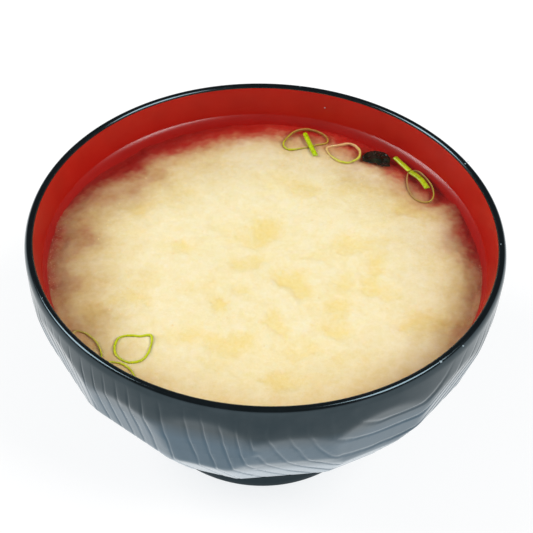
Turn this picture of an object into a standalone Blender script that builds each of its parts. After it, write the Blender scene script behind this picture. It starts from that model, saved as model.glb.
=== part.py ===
"""Miso soup in its faceted lacquer bowl, with rings and slivers of scallion and a scrap of wakame.

Metres, +Z up. The origin is on the table, under the middle of the bowl's foot.
Azimuths are in degrees, 0 towards -Y and growing towards +X.
"""

import math

import bmesh
import bpy
from mathutils import Vector

MM = 0.001
GAP = 0.3 * MM  # between pieces that lie against each other
TURNS = 64  # flats round every turned form

# ---- the bowl
RIM_R = 57.5 * MM
RIM_Z = 63.4 * MM  # height of the widest circle of the lip
LIP_WIDTH = 2.1 * MM
LIP_RISE = 0.75 * MM
LIP_STEPS = 6

BAND_FOOT_Z = 57.46 * MM  # below this the round band under the lip curves in
BAND_CURVE = 8.47  # 1/m: inward pull for each metre squared below the band

FACETS = 16  # facets in each of the three rows
STEP = 360 / FACETS
UPPER = {"first": 9.5, "lean": 13.4, "r": 56.33 * MM, "z": 51.9 * MM}
LOWER = {"first": 7.2, "lean": 26.6, "r": 48.2 * MM, "z": 28.7 * MM}
UNDER = {"first": 7.2, "lean": 38.0, "r": 48.2 * MM, "z": 28.7 * MM}
# how the hand-hewn facets stray from even: (amount, degrees from facet to facet, start)
STRAY = {
    "upper turn": (3.85, 45.0, -150.0),
    "upper lean": (2.3, 135.0, 56.0),
    "upper cut": (0.236 * MM, 180.0, 90.0),
    "lower turn": (2.67, 67.5, 165.0),
    "lower lean": (3.3, 90.0, -103.0),
    "lower cut": (0.5 * MM, 180.0, -90.0),
    "under lean": (0.8, 112.5, 20.0),
}
SHALLOWER = {12: 4.1, 13: 2.4}  # degrees that two of the upper facets lean less than the rest

FOOT_R = 32.0 * MM
FOOT_NECK_R = 31.0 * MM
FOOT_NECK_Z = 7.0 * MM
FOOT_TOP_Z = 8.5 * MM
FOOT_WALL = 3.6 * MM
FOOT_EASE = 0.4 * MM  # softened edges of the foot's rest
UNDERSIDE_Z = 5.0 * MM  # the bowl's bottom, seen inside the foot
FLOOR_Z = 10.0 * MM  # the bowl's floor, under the soup

# ---- the soup
SOUP_Z = 53.9 * MM
SOUP_R = 53.8 * MM  # inside of the bowl at the soup's level
HOLLOW_BEND, HOLLOW_POWER = 1.2, 0.29
HOLLOW_STEPS = 11
MENISCUS_WIDTH = 1.6 * MM
MENISCUS_RISE = 0.7 * MM

# ---- the garnish
RING_WALL = 0.5 * MM
RING_TALL = 1.3 * MM
RING_STEPS = 28
SLIVER_TALL = 0.9 * MM
# outlines in millimetres, seen from above; lift is the middle's height over the soup,
# tip is the rise in each millimetre towards +X and +Y
RINGS = {
    "scallion_ring_back": {
        "outline": [(3.9, 43.6), (5.2, 40.8), (8.6, 41.5), (12.6, 43.2), (16.0, 44.9), (14.9, 48.4), (10.6, 50.5),
                    (6.6, 48.8)],
        "lift": -1.15, "tip": (-0.10, 0.0)},
    "scallion_ring_teardrop": {
        "outline": [(15.8, 42.2), (17.2, 38.3), (20.8, 35.9), (24.2, 38.2), (24.7, 41.9), (22.4, 44.6), (18.8, 43.7)],
        "lift": -0.75, "tip": (0.0, -0.08)},
    "scallion_ring_long": {
        "outline": [(37.5, 32.9), (39.9, 33.7), (42.1, 30.9), (43.6, 26.2), (42.9, 22.2), (40.6, 21.2), (38.0, 23.3),
                    (36.9, 28.3)],
        "lift": -0.55, "tip": (0.04, 0.0)},
    "scallion_ring_front": {
        "outline": [(-32.6, -29.7), (-30.4, -28.9), (-27.9, -29.0), (-25.4, -28.7), (-25.2, -32.2), (-26.4, -35.7),
                    (-29.5, -36.9), (-32.5, -35.0), (-33.3, -32.2)],
        "lift": -0.1, "tip": (0.0, 0.0)},
    "scallion_ring_wall": {
        "outline": [(-42.4, -28.1), (-40.2, -28.8), (-38.0, -30.7), (-36.6, -33.0), (-35.8, -35.4), (-36.8, -36.4),
                    (-38.6, -35.0), (-40.6, -32.8), (-42.2, -30.9), (-43.3, -29.1)],
        "lift": -0.15, "tip": (0.03, 0.0)},
    "scallion_ring_rim": {
        "outline": [(-33.5, -37.0), (-31.7, -37.2), (-30.1, -38.0), (-28.6, -39.5), (-27.8, -41.5), (-28.7, -43.0),
                    (-30.9, -41.9), (-33.0, -40.1), (-34.3, -38.4)],
        "lift": -0.2, "tip": (0.0, 0.0)},
}
SLIVERS = {
    "scallion_sliver_back": {"line": [(9.7, 47.9), (11.0, 43.4), (12.7, 38.2)], "width": 1.35, "lift": 0.3},
    "scallion_sliver_side": {"line": [(34.3, 38.7), (35.8, 36.5), (37.2, 34.4)], "width": 1.4, "lift": 0.15},
    "scallion_sliver_tail": {"line": [(38.7, 32.0), (40.7, 29.9), (41.9, 26.9)], "width": 1.3, "lift": 0.1},
}
WAKAME = {
    "outline": [(26.3, 38.9), (26.2, 37.2), (27.6, 36.3), (29.2, 36.2), (31.0, 34.7), (32.5, 34.7), (32.7, 36.7),
                (32.6, 39.0), (31.2, 40.7), (29.0, 41.0), (27.4, 40.3)],
    "tall": 1.1, "lift": -0.15}
SLOT_TOP_Z = SOUP_Z + 2 * MM

COLOURS = {  # linear colour, roughness
    "black_lacquer": ((0.006, 0.008, 0.010), 0.15),
    "miso_broth": ((0.82, 0.64, 0.34), 0.25),
    "scallion_green": ((0.42, 0.52, 0.03), 0.35),
    "wakame_green": ((0.012, 0.016, 0.008), 0.3),
}


for old in list(bpy.data.objects):
    bpy.data.objects.remove(old, do_unlink=True)


def material(name):
    found = bpy.data.materials.get(name)
    if found:
        return found
    made = bpy.data.materials.new(name)
    made.use_nodes = True
    colour, roughness = COLOURS[name]
    shader = made.node_tree.nodes["Principled BSDF"]
    shader.inputs["Base Color"].default_value = (*colour, 1.0)
    shader.inputs["Roughness"].default_value = roughness
    shader.inputs["Metallic"].default_value = 0.0
    return made


def solid(name, bm, finish, sharp=35):
    """Turn a bmesh into a named object whose faces all point outwards."""
    bmesh.ops.recalc_face_normals(bm, faces=bm.faces[:])
    mesh = bpy.data.meshes.new(name)
    bm.to_mesh(mesh)
    bm.free()
    mesh.materials.append(material(finish))
    mesh.shade_smooth()
    mesh.set_sharp_from_angle(angle=math.radians(sharp))
    made = bpy.data.objects.new(name, mesh)
    bpy.context.collection.objects.link(made)
    return made


def combine(body, tool, operation):
    """Apply one Boolean and drop the tool."""
    cut = body.modifiers.new(operation.lower(), "BOOLEAN")
    cut.operation = operation
    cut.solver = "EXACT"
    cut.object = tool
    view = bpy.context.evaluated_depsgraph_get()
    mesh = bpy.data.meshes.new_from_object(body.evaluated_get(view))
    body.modifiers.remove(cut)
    body.data = mesh
    bpy.data.objects.remove(tool, do_unlink=True)


def turned(section, turns=TURNS):
    """Turn a section of (radius, height) points about +Z. A section that starts and ends on the
    axis closes with poles; any other one closes on itself as a ring."""
    bm = bmesh.new()
    rows = []
    for radius, height in section:
        if radius == 0:
            rows.append([bm.verts.new((0, 0, height))])
            continue
        angles = (2 * math.pi * k / turns for k in range(turns))
        rows.append([bm.verts.new((radius * math.cos(a), radius * math.sin(a), height)) for a in angles])
    pairs = list(zip(rows, rows[1:]))
    if section[0][0] > 0:
        pairs.append((rows[-1], rows[0]))
    for low, high in pairs:
        for k in range(turns):
            corners = [low[k % len(low)], low[(k + 1) % len(low)], high[(k + 1) % len(high)], high[k % len(high)]]
            bm.faces.new(list(dict.fromkeys(corners)))
    return bm


# ---- bowl: outside


def stray(kind, k):
    amount, rate, start = STRAY[kind]
    return amount * math.sin(math.radians(rate * k + start))


def facet(k, row, turn, lean, cut):
    """A point on one hewn facet and the facet's outward normal."""
    azimuth = math.radians(row["first"] + STEP * k + turn)
    slope = math.radians(row["lean"] + lean)
    out = Vector((math.sin(azimuth), -math.cos(azimuth), 0))
    point = out * (row["r"] + cut) + Vector((0, 0, row["z"]))
    return point, out * math.cos(slope) - Vector((0, 0, math.sin(slope)))


def facets():
    for k in range(FACETS):
        upper_lean = stray("upper lean", k) - SHALLOWER.get(k, 0.0)
        yield facet(k, UPPER, stray("upper turn", k), upper_lean, stray("upper cut", k))
        turn, cut = stray("lower turn", k), stray("lower cut", k)
        yield facet(k, LOWER, turn, stray("lower lean", k), cut)
        yield facet(k, UNDER, turn, stray("under lean", k), cut)


def band_radius(z):
    """Outside of the bowl before the facets are hewn."""
    return RIM_R - BAND_CURVE * max(0.0, BAND_FOOT_Z - z) ** 2


def lip():
    """The rounded lip, from its outer edge over the top to its inner edge."""
    half = LIP_WIDTH / 2
    for k in range(LIP_STEPS + 1):
        angle = math.pi * k / LIP_STEPS
        yield RIM_R - half + half * math.cos(angle), RIM_Z + LIP_RISE * math.sin(angle)


def hollow(level_r, floor_z):
    """Inside of the bowl from the soup's level down to the middle of the floor."""
    for k in range(HOLLOW_STEPS + 1):
        t = 1 - (1 - k / HOLLOW_STEPS) ** 1.6
        z = SOUP_Z - t * (SOUP_Z - floor_z)
        yield level_r * (1 - t**HOLLOW_BEND) ** HOLLOW_POWER if k < HOLLOW_STEPS else 0.0, z


def bowl():
    band_steps = 14
    low = UNDERSIDE_Z
    heights = [low + (BAND_FOOT_Z - low) * k / band_steps for k in range(band_steps + 1)]
    outside = [(band_radius(z), z) for z in heights]
    section = [(0.0, low), *outside, *lip(), *hollow(SOUP_R, FLOOR_Z)]
    bm = turned(section)
    for point, normal in facets():
        everything = bm.verts[:] + bm.edges[:] + bm.faces[:]
        result = bmesh.ops.bisect_plane(
            bm, geom=everything, dist=1e-7, plane_co=point, plane_no=normal, clear_outer=True)
        edges = [part for part in result["geom_cut"] if isinstance(part, bmesh.types.BMEdge)]
        bmesh.ops.edgenet_fill(bm, edges=edges)
    bmesh.ops.dissolve_degenerate(bm, dist=0.02 * MM, edges=bm.edges[:])
    body = solid("bowl", bm, "black_lacquer", sharp=12)
    combine(body, foot(), "UNION")
    return body


def foot():
    inner = FOOT_R - FOOT_WALL
    section = [
        (inner + FOOT_EASE, 0.0),
        (FOOT_R - FOOT_EASE, 0.0),
        (FOOT_R, FOOT_EASE),
        (FOOT_NECK_R, FOOT_NECK_Z),
        (FOOT_NECK_R, FOOT_TOP_Z),
        (inner, FOOT_TOP_Z),
        (inner, FOOT_EASE),
    ]
    return solid("foot", turned(section), "black_lacquer")


# ---- garnish


def closed_curve(points, count):
    """Evenly spaced points on a smooth closed curve through the given ones, in metres."""
    fine = []
    n = len(points)
    for i in range(n):
        a, b, c, d = (Vector(points[(i + j) % n]) * MM for j in (-1, 0, 1, 2))
        for s in range(16):
            t = s / 16
            fine.append(0.5 * (2 * b + (c - a) * t + (2 * a - 5 * b + 4 * c - d) * t**2
                               + (3 * b - a - 3 * c + d) * t**3))
    lengths = [0.0]
    for p, q in zip(fine, fine[1:] + fine[:1]):
        lengths.append(lengths[-1] + (q - p).length)
    spaced, i = [], 0
    for k in range(count):
        reach = lengths[-1] * k / count
        while lengths[i + 1] <= reach:
            i += 1
        share = (reach - lengths[i]) / (lengths[i + 1] - lengths[i])
        spaced.append(fine[i].lerp(fine[(i + 1) % len(fine)], share))
    return spaced


def loop_solid(name, path, section, closed, finish):
    """Sweep a section of (across, height) points, one section for each point of a level path."""
    bm = bmesh.new()
    rows = []
    n = len(path)
    for i, p in enumerate(path):
        before = path[i - 1] if closed or i else p
        after = path[(i + 1) % n] if closed or i < n - 1 else p
        along = (after - before).normalized()
        across = Vector((along.y, -along.x))
        rows.append([bm.verts.new((*(p + across * a), h)) for a, h in section(i, p)])
    sides = len(rows[0])
    for i in range(n if closed else n - 1):
        here, there = rows[i], rows[(i + 1) % n]
        for k in range(sides):
            bm.faces.new((here[k], here[(k + 1) % sides], there[(k + 1) % sides], there[k]))
    if not closed:
        bm.faces.new(rows[0])
        bm.faces.new(rows[-1])
    return solid(name, bm, finish)


def ring_heights(ring, p):
    """Height of a ring's middle at a point of its outline."""
    middle = sum((Vector(q) for q in ring["outline"]), Vector((0, 0))) * MM / len(ring["outline"])
    away = p - middle
    return SOUP_Z + ring["lift"] * MM + away.x * ring["tip"][0] + away.y * ring["tip"][1]


def scallion_ring(name, ring):
    def section(_, p):
        z = ring_heights(ring, p)
        w, h = RING_WALL / 2, RING_TALL / 2
        shoulder = 0.8 * h
        return [(-w, z - shoulder), (-w, z + shoulder), (0, z + h), (w, z + shoulder), (w, z - shoulder), (0, z - h)]

    return loop_solid(name, closed_curve(ring["outline"], RING_STEPS), section, True, "scallion_green")


def ring_slot(ring):
    def section(_, p):
        z = ring_heights(ring, p) - RING_TALL / 2 - GAP
        w = RING_WALL / 2 + GAP
        return [(-w, z), (-w, SLOT_TOP_Z), (w, SLOT_TOP_Z), (w, z)]

    return loop_solid("slot", closed_curve(ring["outline"], RING_STEPS), section, True, "miso_broth")


def sliver_path(line, steps=9):
    """Points along a bent sliver, through its two ends and near its middle."""
    a, b, c = (Vector(p) * MM for p in line)
    hinge = 2 * b - (a + c) / 2
    shares = [k / (steps - 1) for k in range(steps)]
    return [a * (1 - t) ** 2 + hinge * 2 * t * (1 - t) + c * t**2 for t in shares]


def scallion_sliver(name, sliver):
    """A cut strip of scallion leaf: flat-bottomed, domed on top, its ends eased."""
    path = sliver_path(sliver["line"])
    ends = {0: 0.55, 1: 0.92, len(path) - 2: 0.92, len(path) - 1: 0.55}
    z = SOUP_Z + sliver["lift"] * MM

    def section(i, _):
        ease = ends.get(i, 1.0)
        w, h = sliver["width"] * MM / 2 * ease, SLIVER_TALL / 2 * (0.6 + 0.4 * ease)
        return [(-w, z - 0.5 * h), (-w, z + 0.4 * h), (-0.5 * w, z + h), (0.5 * w, z + h),
                (w, z + 0.4 * h), (w, z - 0.5 * h), (0.5 * w, z - h), (-0.5 * w, z - h)]

    return loop_solid(name, path, section, False, "scallion_green")


def sliver_slot(sliver):
    path = sliver_path(sliver["line"])
    start, end = path[0] - path[1], path[-1] - path[-2]
    path = [path[0] + start.normalized() * GAP, *path[1:-1], path[-1] + end.normalized() * GAP]
    w = sliver["width"] * MM / 2 + GAP
    z = SOUP_Z + sliver["lift"] * MM - SLIVER_TALL / 2 - GAP

    def section(*_):
        return [(-w, z), (-w, SLOT_TOP_Z), (w, SLOT_TOP_Z), (w, z)]

    return loop_solid("slot", path, section, False, "miso_broth")


def slab(name, outline, low, high, crown, finish):
    """A closed leaf of an outline's shape, with its upper face crowned."""
    bm = bmesh.new()
    middle = sum(outline, Vector((0, 0))) / len(outline)
    tiers = [(0.85, low), (1.0, low + 0.3 * (high - low)), (1.0, high - 0.3 * (high - low)), (0.8, high)]
    rows = [[bm.verts.new((*(middle + (p - middle) * grow), z)) for p in outline] for grow, z in tiers]
    for here, there in zip(rows, rows[1:]):
        for k in range(len(outline)):
            after = (k + 1) % len(outline)
            bm.faces.new((here[k], here[after], there[after], there[k]))
    bm.faces.new(rows[0])
    top = bm.verts.new((*middle, high + crown))
    for k in range(len(outline)):
        bm.faces.new((rows[-1][k], rows[-1][(k + 1) % len(outline)], top))
    return solid(name, bm, finish)


def wakame():
    z = SOUP_Z + WAKAME["lift"] * MM
    half = WAKAME["tall"] * MM / 2
    return slab("wakame", closed_curve(WAKAME["outline"], 30), z - half, z + half, 0.25 * MM, "wakame_green")


def wakame_slot():
    outline = closed_curve(WAKAME["outline"], 30)
    middle = sum(outline, Vector((0, 0))) / len(outline)
    wider = [p + (p - middle).normalized() * 1.5 * GAP for p in outline]
    low = SOUP_Z + (WAKAME["lift"] - WAKAME["tall"] / 2) * MM - GAP
    bm = bmesh.new()
    rows = [[bm.verts.new((*p, z)) for p in wider] for z in (low, SLOT_TOP_Z)]
    for k in range(len(wider)):
        after = (k + 1) % len(wider)
        bm.faces.new((rows[0][k], rows[0][after], rows[1][after], rows[1][k]))
    for row in rows:
        bm.faces.new(row)
    return solid("slot", bm, "miso_broth")


# ---- soup


def soup():
    """The soup up to its level, a hair clear of the bowl, creeping up a little at the wall."""
    side = 1.15 * GAP
    wall = SOUP_R - side
    surface = [
        (0.0, SOUP_Z),
        (wall - MENISCUS_WIDTH, SOUP_Z),
        (wall - 0.4 * MENISCUS_WIDTH, SOUP_Z + 0.3 * MENISCUS_RISE),
        (wall, SOUP_Z + MENISCUS_RISE),
    ]
    body = solid("soup", turned([*surface, *hollow(wall, FLOOR_Z + side)]), "miso_broth")
    for ring in RINGS.values():
        combine(body, ring_slot(ring), "DIFFERENCE")
    for sliver in SLIVERS.values():
        combine(body, sliver_slot(sliver), "DIFFERENCE")
    combine(body, wakame_slot(), "DIFFERENCE")
    return body


bowl()
soup()
for ring_name, ring_sizes in RINGS.items():
    scallion_ring(ring_name, ring_sizes)
for sliver_name, sliver_sizes in SLIVERS.items():
    scallion_sliver(sliver_name, sliver_sizes)
wakame()
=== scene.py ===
import math

import bmesh
import bpy
import numpy as np
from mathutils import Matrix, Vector


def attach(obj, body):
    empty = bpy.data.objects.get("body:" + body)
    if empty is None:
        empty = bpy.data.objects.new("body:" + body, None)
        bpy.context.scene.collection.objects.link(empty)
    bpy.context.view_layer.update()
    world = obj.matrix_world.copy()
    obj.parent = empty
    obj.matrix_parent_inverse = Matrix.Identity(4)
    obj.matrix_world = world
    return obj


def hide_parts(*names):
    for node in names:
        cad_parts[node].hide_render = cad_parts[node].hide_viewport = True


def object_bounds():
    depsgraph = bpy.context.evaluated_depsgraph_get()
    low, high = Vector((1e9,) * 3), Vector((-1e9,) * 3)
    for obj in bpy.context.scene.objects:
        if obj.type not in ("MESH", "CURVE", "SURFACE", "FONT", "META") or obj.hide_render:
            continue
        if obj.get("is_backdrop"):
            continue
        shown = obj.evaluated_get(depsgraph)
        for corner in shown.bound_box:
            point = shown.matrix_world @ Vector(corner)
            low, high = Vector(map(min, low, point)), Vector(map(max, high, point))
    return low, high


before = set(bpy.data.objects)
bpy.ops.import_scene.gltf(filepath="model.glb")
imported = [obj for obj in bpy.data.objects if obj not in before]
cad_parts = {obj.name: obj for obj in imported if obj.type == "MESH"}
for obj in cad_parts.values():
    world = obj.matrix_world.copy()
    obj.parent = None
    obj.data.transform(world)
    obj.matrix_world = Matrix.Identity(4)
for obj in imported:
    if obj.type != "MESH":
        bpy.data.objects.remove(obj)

cad_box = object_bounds()
MM = 0.001

# ---- camera
# A long lens that looks down on the bowl from the eater's side, close enough to fill the frame
# with it.


def linked(name, data):
    """A new object of this data, in the scene."""
    made = bpy.data.objects.new(name, data)
    bpy.context.collection.objects.link(made)
    return made


eye = bpy.data.cameras.new("camera")
eye.lens = 74.30
eye.sensor_width = 36.0
camera = linked("camera", eye)
camera.location = (0.0, -0.19532955, 0.24212597)
camera.rotation_euler = [math.radians(a) for a in (45.2994, -1.5249, 1.3987)]
bpy.context.scene.camera = camera

# ---- bowl body
# Turned wood, hewn with a chisel into three rows of facets under a round band and lip, on a ring
# foot, then lacquered black. The soft grain has sunk, so that each growth ring shows as a groove.

COLUMNS = 336
RIM_R = 57.5 * MM
RIM_Z = 63.4 * MM
LIP_WIDTH = 2.1 * MM
INNER_TOP = RIM_R - LIP_WIDTH
LIP_RISE = 0.75 * MM
LIP_FOOT_Z = RIM_Z - 1.6 * MM
EDGE_EASE = 0.16 * MM  # half width of the crisp crease over the lowest facets
BAND_FOOT_Z = 57.46 * MM
BAND_CURVE = 8.47  # how fast the wall curves in under that height, per metre
FACETS = 16
STEP = 360 / FACETS
ROWS_OF_FACETS = {  # azimuth of the first facet, lean, and a point on it: radius, height
    "upper": (9.5, 13.4, 56.33 * MM, 51.9 * MM),
    "lower": (7.2, 27.8, 48.06 * MM, 28.7 * MM),
    "under": (7.2, 38.0, 48.2 * MM, 28.7 * MM),
}
STRAY = {  # how far each facet strays from its row: amount, rate and start of a sine
    "upper turn": (3.85, 45.0, -150.0),
    "upper lean": (2.3, 135.0, 56.0),
    "upper cut": (0.236 * MM, 180.0, 90.0),
    "lower turn": (2.67, 67.5, 165.0),
    "lower lean": (3.3, 90.0, -103.0),
    "lower cut": (0.5 * MM, 180.0, -90.0),
    "under lean": (0.8, 112.5, 20.0),
}
SHALLOWER = {12: 4.1, 13: 2.4}  # upper facets that lean less, in degrees
SHARED_TURN = {"upper": "upper", "lower": "lower", "under": "lower"}
PROUD = {"upper": 0.0, "lower": 0.36 * MM, "under": 1.05 * MM}  # how far out at the front
BODY_ROWS = 60
UNDER_ROWS = 15  # of these, the ones under the lowest crease
LIP_STEPS = 20
WORN_FROM = 32 * MM  # the edges of the facets are rubbed round from here up
WORN_OVER = 8 * MM
FOOT_R = 32.0 * MM
FOOT_NECK_R = 31.0 * MM
FOOT_NECK_Z = 7.0 * MM
FOOT_INNER_R = 28.4 * MM
FOOT_EASE = 0.4 * MM
UNDERSIDE_Z = 5.0 * MM
UNDERSIDE_SAG = 0.12 * MM
JOINT_TOP = 14 * MM  # the wall's joint with the foot lies under this
CREASE_SPAN = (6 * MM, 34 * MM)  # the lowest crease lies between these
CREASE_CLEAR = 1.2 * MM  # and at least this far over the joint
FLOOR_Z = 10.0 * MM
SOUP_Z = 53.9 * MM
SOUP_R = 53.8 * MM
LINING = 0.15 * MM

around = np.arange(COLUMNS) * 2 * math.pi / COLUMNS  # azimuth from -Y towards +X


def stray(kind, k):
    """How far facet k strays from its row in this way."""
    amount, rate, start = STRAY[kind]
    return amount * math.sin(math.radians(rate * k + start))


def facet_planes():
    """Azimuth, lean, and the radius and height of a point, of each hewn facet."""
    for k in range(FACETS):
        for row, (first, lean, r, z) in ROWS_OF_FACETS.items():
            mate = SHARED_TURN[row]
            lean += stray(row + " lean", k) - (SHALLOWER.get(k, 0.0) if row == "upper" else 0.0)
            azimuth = math.radians(first + STEP * k + stray(mate + " turn", k))
            r += stray(mate + " cut", k) + PROUD[row] * max(0.0, math.cos(azimuth)) ** 6
            yield row, azimuth, math.radians(lean), r, z


def hewn_radius(azimuth, z, kinds=("upper", "lower", "under")):
    """Radius of the outside, hewn by these rows of facets, at each azimuth and height."""
    radius = RIM_R - BAND_CURVE * np.maximum(0.0, BAND_FOOT_Z - z) ** 2
    for kind, facing, lean, r, height in facet_planes():
        if kind not in kinds:
            continue
        swing = np.cos(azimuth - facing)
        cut = (r + (z - height) * math.tan(lean)) / np.maximum(swing, 0.05)
        radius = np.minimum(radius, np.where(swing > 0.3, cut, RIM_R))
    return radius


def foot_radius(z):
    """Radius of the foot's outside, which narrows towards its neck."""
    return FOOT_R - (FOOT_R - FOOT_NECK_R) * (z - FOOT_EASE) / (FOOT_NECK_Z - FOOT_EASE)


def hollow(steps):
    """Inside of the bowl from the soup's level down to the middle of the floor."""
    for k in range(steps + 1):
        t = 1 - (1 - k / steps) ** 1.6
        z = SOUP_Z - t * (SOUP_Z - FLOOR_Z)
        yield SOUP_R * (1 - t**1.2) ** 0.29 if k < steps else 0.0, z


def wall_over_soup(*shares):
    """Points up the inner wall at these shares of the way from the soup to the lip."""
    return [(SOUP_R + (INNER_TOP - SOUP_R) * s, SOUP_Z + (RIM_Z - SOUP_Z) * s) for s in shares]


def thicker(rows, by):
    """The same rows further out, and further down below the soup's level."""
    return [(r + by, z - by * min(1.0, max(0.0, (SOUP_Z - z) / (20 * MM)))) for r, z in rows]


def revolve(rows, first_pole, last_pole):
    """Faces between rows of points round the axis, closed by a pole at either end. Each row is a
    radius and a height, as numbers or as arrays with one entry for each column."""
    spots = [(0.0, 0.0, first_pole)]
    for radius, height in rows:
        radius = radius + 0 * around
        height = height + 0 * around
        spots += list(zip(radius * np.sin(around), -radius * np.cos(around), height))
    spots.append((0.0, 0.0, last_pole))
    faces = []
    for k in range(COLUMNS):
        n = (k + 1) % COLUMNS
        faces.append((0, 1 + k, 1 + n))
        for row in range(len(rows) - 1):
            low, high = 1 + row * COLUMNS, 1 + (row + 1) * COLUMNS
            faces.append((low + k, high + k, high + n, low + n))
        top = 1 + (len(rows) - 1) * COLUMNS
        faces.append((top + n, top + k, len(spots) - 1))
    return spots, faces


def mesh_of(name, spots, faces):
    made = bpy.data.meshes.new(name)
    made.from_pydata(spots, [], faces)
    return made


def places(mesh):
    """Where the vertices of a mesh are, a row for each."""
    spots = np.empty(3 * len(mesh.vertices))
    mesh.vertices.foreach_get("co", spots)
    return spots.reshape(-1, 3)


def store(mesh, name, values):
    """Keep a number for each vertex, which materials and trees can read."""
    kept = mesh.attributes.new(name, "FLOAT", "POINT")
    kept.data.foreach_set("value", np.asarray(values, np.float32))


def finished(name, mesh):
    """A smooth-shaded object of a mesh whose faces all point outwards."""
    bm = bmesh.new()
    bm.from_mesh(mesh)
    bmesh.ops.remove_doubles(bm, verts=bm.verts[:], dist=0.001 * MM)
    bmesh.ops.recalc_face_normals(bm, faces=bm.faces[:])
    bm.to_mesh(mesh)
    bm.free()
    mesh.shade_smooth()
    return linked(name, mesh)


def crossing(gap, heights):
    """Height at which a growing gap passes nought, at each azimuth."""
    return np.array([np.interp(0.0, gap[:, k], heights[:, k]) for k in range(COLUMNS)])


heights = np.linspace(UNDERSIDE_Z, JOINT_TOP, 361)[:, None] + 0 * around
join_z = crossing(hewn_radius(around, heights) - foot_radius(heights), heights)
heights = np.linspace(*CREASE_SPAN, 561)[:, None] + 0 * around
low_gap = hewn_radius(around, heights, ("under",)) - hewn_radius(around, heights, ("lower",))
crease_z = np.clip(crossing(low_gap, heights), join_z + CREASE_CLEAR, CREASE_SPAN[1])
upper_rows = BODY_ROWS - UNDER_ROWS
body_z = np.array(
    [LIP_FOOT_Z + (crease_z + EDGE_EASE - LIP_FOOT_Z) * k / upper_rows for k in range(upper_rows + 1)]
    + [crease_z]
    + [crease_z - EDGE_EASE + (join_z - crease_z + EDGE_EASE) * k / (UNDER_ROWS - 2)
       for k in range(UNDER_ROWS - 1)])
body_r = hewn_radius(around, body_z)
eased = (np.roll(body_r, 1, axis=1) + 2 * body_r + np.roll(body_r, -1, axis=1)) / 4
eased[1:-1] = (eased[:-2] + 2 * eased[1:-1] + eased[2:]) / 4
worn = 0.1 + 0.9 * np.clip((body_z - WORN_FROM) / WORN_OVER, 0, 1)
body_r[1:-1] += (worn * (eased - body_r))[1:-1]

body_rows = thicker(hollow(22), LINING)[-2::-1]
body_rows += [(r + LINING, z) for r, z in wall_over_soup(0.33, 0.66, 0.97)]
half = LIP_WIDTH / 2
for k in range(LIP_STEPS + 1):
    angle = math.pi * (1 - k / LIP_STEPS)
    fall = RIM_Z if k <= LIP_STEPS // 2 else LIP_FOOT_Z
    rise = RIM_Z + LIP_RISE - fall
    body_rows.append((RIM_R - half + half * math.cos(angle), fall + rise * math.sin(angle)))
hewn_start = len(body_rows) - 1
body_rows += [(body_r[k], body_z[k]) for k in range(1, BODY_ROWS + 1)]
hewn_end = len(body_rows) - 1
for s in (0.25, 0.5, 0.75, 1.0):
    z = join_z + (FOOT_EASE - join_z) * s
    body_rows.append((foot_radius(z), z))
for edge, sign, turns in ((FOOT_R, -1, (30, 60, 90)), (FOOT_INNER_R, 1, (90, 60, 30, 0))):
    for a in np.radians(turns):
        body_rows.append((edge + sign * FOOT_EASE * (1 - math.cos(a)), FOOT_EASE * (1 - math.sin(a))))
body_rows += [(FOOT_INNER_R, 2.4 * MM), (FOOT_INNER_R, UNDERSIDE_Z - 0.5 * MM),
              (FOOT_INNER_R - 0.15 * MM, UNDERSIDE_Z - 0.15 * MM), (FOOT_INNER_R - 0.5 * MM, UNDERSIDE_Z)]
body_rows += [(r * MM, UNDERSIDE_Z - UNDERSIDE_SAG * math.sin(math.pi * r / 28)) for r in (21.0, 14.0, 7.0)]
body_mesh = mesh_of("bowl_body", *revolve(body_rows, FLOOR_Z - LINING, UNDERSIDE_Z))

# The growth rings are cylinders about one slanting pith line outside the bowl.
PITH = np.array((65.1, -85.0, 91.1)) * MM
PITH_WAY = np.array((0.202, 0.314, 0.928)) / np.linalg.norm((0.202, 0.314, 0.928))
RINGS_SEEN = (0.974, 1.018, 1.072, 1.127, 1.183, 1.238, 1.287, 1.341, 1.404, 1.467, 1.562,
              1.638, 1.696, 1.749, 1.809, 1.865)  # in rim radii from the pith line
RING_SPACING = 0.056
LAST_RING = 2.95
GROOVE_HALF = 0.46 * MM
GROOVE_DEEP = 0.19 * MM
GROOVE_FOOT = 5.5 * MM
GROOVE_TOP = 62.5 * MM  # they fade out below this, under the lip
GROOVE_FADE = 8 * MM
FOOT_FADE = 1.8 * MM  # and over the joint with the foot

chance = np.random.default_rng(7)
rings = [r * RIM_R for r in RINGS_SEEN]
while rings[-1] < LAST_RING * RIM_R:
    rings.append(rings[-1] + RING_SPACING * RIM_R * chance.uniform(0.78, 1.3))
rings = np.array(rings)


def swell(a, b, size, seed):
    """Smooth noise between -1 and 1 over two coordinates, its swells about size across."""
    table = np.random.default_rng(seed).uniform(-1, 1, (128, 128))
    c, s = math.cos(seed * 1.7), math.sin(seed * 1.7)
    u, v = (a * c - b * s) / size + 40.5, (a * s + b * c) / size + 40.5
    i, j = np.floor(u).astype(int), np.floor(v).astype(int)
    fu, fv = u - i, v - j
    fu, fv = fu * fu * (3 - 2 * fu), fv * fv * (3 - 2 * fv)
    i, j = i % 128, j % 128
    p, q = (i + 1) % 128, (j + 1) % 128
    low = table[i, j] * (1 - fu) + table[p, j] * fu
    high = table[i, q] * (1 - fu) + table[p, q] * fu
    return low * (1 - fv) + high * fv


def swells(a, b, *layers):
    """Several swells together, each given as its amount, size and seed."""
    return sum(amount * swell(a, b, size, seed) for amount, size, seed in layers)


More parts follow.
